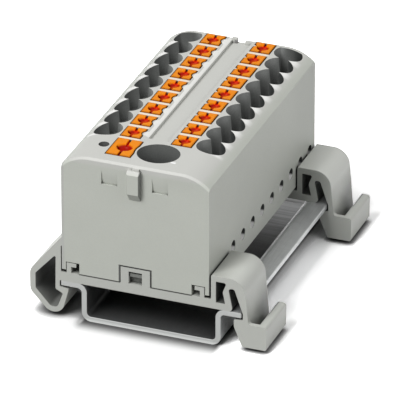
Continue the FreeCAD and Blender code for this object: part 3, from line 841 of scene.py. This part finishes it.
def strip_mesh(name, path, thickness, width, bend):
    """Bent strip of even width about the plane y = 0."""
    line = rounded_line(path, bend)
    build = bmesh.new()
    rings = []
    for index, spot in enumerate(line):
        ahead = line[min(index + 1, len(line) - 1)] - line[max(index - 1, 0)]
        side = Vector((-ahead.y, ahead.x)).normalized() * thickness / 2
        above, below = spot + side, spot - side
        corners = ((above, -width / 2), (above, width / 2), (below, width / 2), (below, -width / 2))
        rings.append([build.verts.new((end.x * MM, across * MM, end.y * MM)) for end, across in corners])
    for first, second in zip(rings, rings[1:]):
        for index in range(4):
            following = (index + 1) % 4
            build.faces.new((first[index], first[following], second[following], second[index]))
    build.faces.new(rings[0][::-1])
    build.faces.new(rings[-1])
    bmesh.ops.recalc_face_normals(build, faces=build.faces)
    mesh = bpy.data.meshes.new(name)
    build.to_mesh(mesh)
    build.free()
    mesh.shade_smooth()
    mesh.set_sharp_from_angle(angle=SMOOTH_ANGLE)
    return mesh


def rows_tree():
    """Geometry nodes: the incoming piece at every station, and turned round in the left row."""
    tree = bpy.data.node_groups.new("two_rows", "GeometryNodeTree")
    face = tree.interface
    face.new_socket("Geometry", in_out="INPUT", socket_type="NodeSocketGeometry")
    face.new_socket("Stations", in_out="INPUT", socket_type="NodeSocketInt")
    for title in ("Pitch", "First Station", "Block Middle"):
        face.new_socket(title, in_out="INPUT", socket_type="NodeSocketFloat")
    face.new_socket("Finish", in_out="INPUT", socket_type="NodeSocketMaterial")
    face.new_socket("Geometry", in_out="OUTPUT", socket_type="NodeSocketGeometry")
    nodes = tree.nodes
    link = tree.links.new
    source = nodes.new("NodeGroupInput").outputs
    start = nodes.new("ShaderNodeCombineXYZ")
    link(source["Block Middle"], start.inputs["X"])
    link(source["First Station"], start.inputs["Y"])
    step = nodes.new("ShaderNodeCombineXYZ")
    link(source["Pitch"], step.inputs["Y"])
    line = nodes.new("GeometryNodeMeshLine")
    line.mode = "OFFSET"
    line.count_mode = "TOTAL"
    link(source["Stations"], line.inputs["Count"])
    link(start.outputs[0], line.inputs["Start Location"])
    link(step.outputs[0], line.inputs["Offset"])
    both = nodes.new("GeometryNodeJoinGeometry")
    for turn in (0.0, math.pi):
        row = nodes.new("GeometryNodeInstanceOnPoints")
        link(line.outputs["Mesh"], row.inputs["Points"])
        link(source["Geometry"], row.inputs["Instance"])
        row.inputs["Rotation"].default_value = (0.0, 0.0, turn)
        link(row.outputs["Instances"], both.inputs["Geometry"])
    real = nodes.new("GeometryNodeRealizeInstances")
    link(both.outputs[0], real.inputs["Geometry"])
    painted = nodes.new("GeometryNodeSetMaterial")
    link(real.outputs[0], painted.inputs["Geometry"])
    link(source["Finish"], painted.inputs["Material"])
    link(painted.outputs[0], nodes.new("NodeGroupOutput").inputs["Geometry"])
    return tree


def lay_springs(finish):
    """One clamping spring per wire position, all from one strip."""
    strip = strip_mesh("clamping_strip", CLAMP_PATH, CLAMP_SHEET, CLAMP_WIDTH, CLAMP_BEND)
    seed = bpy.data.objects.new("clamping_strip", strip)
    bpy.context.scene.collection.objects.link(seed)
    layout = seed.modifiers.new("two_rows", "NODES")
    layout.node_group = rows_tree()
    values = {"Stations": POSITIONS, "Pitch": PITCH * MM, "First Station": FIRST_Y * MM,
              "Block Middle": BLOCK_X * MM, "Finish": finish}
    for socket in layout.node_group.interface.items_tree:
        if socket.in_out == "INPUT" and socket.name in values:
            layout[socket.identifier] = values[socket.name]
    bpy.context.view_layer.update()
    ready = seed.evaluated_get(bpy.context.evaluated_depsgraph_get())
    mesh = bpy.data.meshes.new_from_object(ready)
    mesh.name = "clamping_springs"
    seed.modifiers.clear()
    bpy.data.objects.remove(seed)
    springs = bpy.data.objects.new("clamping_springs", mesh)
    bpy.context.scene.collection.objects.link(springs)
    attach(springs, frame["nodes"]["housing"]["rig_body"])
    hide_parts(*[name for name in frame["nodes"] if name.startswith("spring_")])


# Stage, light and camera

def floor_brightness(tree, x, y):
    """White, greyer in the block's wide shelter as painted shadow, brighter at the open front corner and well
    away from it as painted light.
    """
    pale = shaded(tree, even(FLOOR_SHOWN), reach=9.0, low=0.05, high=0.6, darkest=0.3)
    open_end = product(tree, fall(tree, y, FRONT_Y + 1.5, FRONT_Y + 7.5), fade(tree, x, 9.0, 15.0))
    pale = mix_colour(tree, open_end, pale, even(FLOOR_OPEN_END))
    beyond = larger(tree, fade(tree, x, 23.0, 24.5), fade(tree, y, 30.0, 42.0))
    return mix_colour(tree, beyond, pale, even(FLOOR_BEYOND))


def contact_shade(tree, x, y):
    """Painted contact shadow: 1 in the open, falling beside the rail and under what comes close, less so
    under the grip.
    """
    left_reach, right_reach = CONTACT_REACH
    reach = fade(tree, x, -14.0, 4.0, left_reach * MM, right_reach * MM)
    open_share = calc(tree, "POWER", shelter(tree, reach, samples=16), CONTACT_POWER)
    near = calc(tree, "MULTIPLY_ADD", open_share, 1.0 - CONTACT_DARKEST, CONTACT_DARKEST)
    past_side = larger(tree, calc(tree, "SUBTRACT", off(tree, x), RAIL_FOOT_HALF), 0.0)
    past_side = product(tree, past_side, fade(tree, x, -1.0, 1.0, 1.6, 3.4))
    past_end = larger(tree, calc(tree, "SUBTRACT", off(tree, y), REAR_Y), 0.0)
    off_rail = distance(tree, past_side, past_end)
    close_by = fade(tree, off_rail, 0.1, 4.2, 0.06, 0.58)
    further = fade(tree, off_rail, 4.5, 12.0, 0.0, 0.42)
    beside_rail = calc(tree, "ADD", close_by, further)
    under_grip = band(tree, x, (-18.5, -16.5), (-13.6, -12.8))
    least = product(tree, under_grip, UNDER_GRIP_LEAST)
    return larger(tree, smaller(tree, near, beside_rail), least)


def lay_floor():
    """White floor under the rail. It keeps the shadow, adds painted shadow and painted light, and sends less
    light up than it shows.
    """
    build = bmesh.new()
    bmesh.ops.create_grid(build, x_segments=8, y_segments=8, size=FLOOR_HALF)
    mesh = bpy.data.meshes.new("studio_floor")
    build.to_mesh(mesh)
    build.free()
    floor = bpy.data.objects.new("studio_floor", mesh)
    bpy.context.scene.collection.objects.link(floor)
    finish = new_finish("studio_floor_white")
    tree = finish.node_tree
    _, x, y, _ = place_in_mm(tree)
    pale = dimmed(tree, floor_brightness(tree, x, y), contact_shade(tree, x, y))
    shown = add(tree, "BsdfDiffuse", Color=pale)
    quiet = add(tree, "BsdfDiffuse", Color=even(FLOOR_BOUNCE))
    rays = add(tree, "LightPath").outputs
    seen = larger(tree, rays["Is Camera Ray"], rays["Is Glossy Ray"])
    both = add(tree, "MixShader", _0=seen, _1=quiet.outputs[0], _2=shown.outputs[0])
    add(tree, "OutputMaterial", Surface=both.outputs[0])
    mesh.materials.append(finish)


def light_room():
    """A quiet sky that shows as white, and two soft lamps."""
    world = bpy.data.worlds.new("studio_sky")
    bpy.context.scene.world = world
    world.use_nodes = True
    tree = world.node_tree
    tree.nodes.clear()
    rays = add(tree, "LightPath").outputs
    seen = larger(tree, rays["Is Camera Ray"], rays["Is Transmission Ray"])
    seen = larger(tree, seen, rays["Is Glossy Ray"])
    sky = add(tree, "Background", Color=even(1.0), Strength=SKY_LIGHT)
    backdrop = add(tree, "Background", Color=even(1.0), Strength=1.0)
    both = add(tree, "MixShader", _0=seen, _1=sky.outputs[0], _2=backdrop.outputs[0])
    add(tree, "OutputWorld", Surface=both.outputs[0])
    for name, place, size, power in LAMPS:
        lamp = bpy.data.lights.new(name, "AREA")
        lamp.shape = "DISK"
        lamp.size = size
        lamp.energy = power
        holder = bpy.data.objects.new(name, lamp)
        holder.location = place
        holder.rotation_euler = (LAMP_AIM - Vector(place)).to_track_quat("-Z", "Y").to_euler()
        bpy.context.scene.collection.objects.link(holder)


def set_camera():
    """The photograph's view, in the row frame: a long lens from the right and above."""
    azimuth = math.radians(21.03)
    elevation = math.radians(27.96)
    away = 1250.0
    pixels_per_mm = 5.516
    picture = 400
    anchor = Vector((0.0, FRONT_Y, -0.9))
    anchor_pixel = (150.9, 337.6)
    flat = math.cos(elevation)
    right = Vector((math.cos(azimuth), math.sin(azimuth), 0.0))
    back = Vector((math.sin(azimuth) * flat, -math.cos(azimuth) * flat, math.sin(elevation)))
    up = back.cross(right)
    across = (anchor_pixel[0] - picture / 2) / pixels_per_mm
    upward = -(anchor_pixel[1] - picture / 2) / pixels_per_mm
    place = anchor + back * away - right * across - up * upward
    camera = bpy.data.cameras.new("photo_camera")
    camera.sensor_width = 36.0
    camera.lens = pixels_per_mm * away / picture * camera.sensor_width
    camera.clip_end = 20.0
    holder = bpy.data.objects.new("photo_camera", camera)
    holder.location = place * MM
    holder.rotation_euler = back.to_track_quat("Z", "Y").to_euler()
    bpy.context.scene.collection.objects.link(holder)
    bpy.context.scene.camera = holder


dress_block()
lay_floor()
light_room()
set_camera()
bpy.context.scene.view_settings.view_transform = "Standard"

bpy.context.view_layer.update()
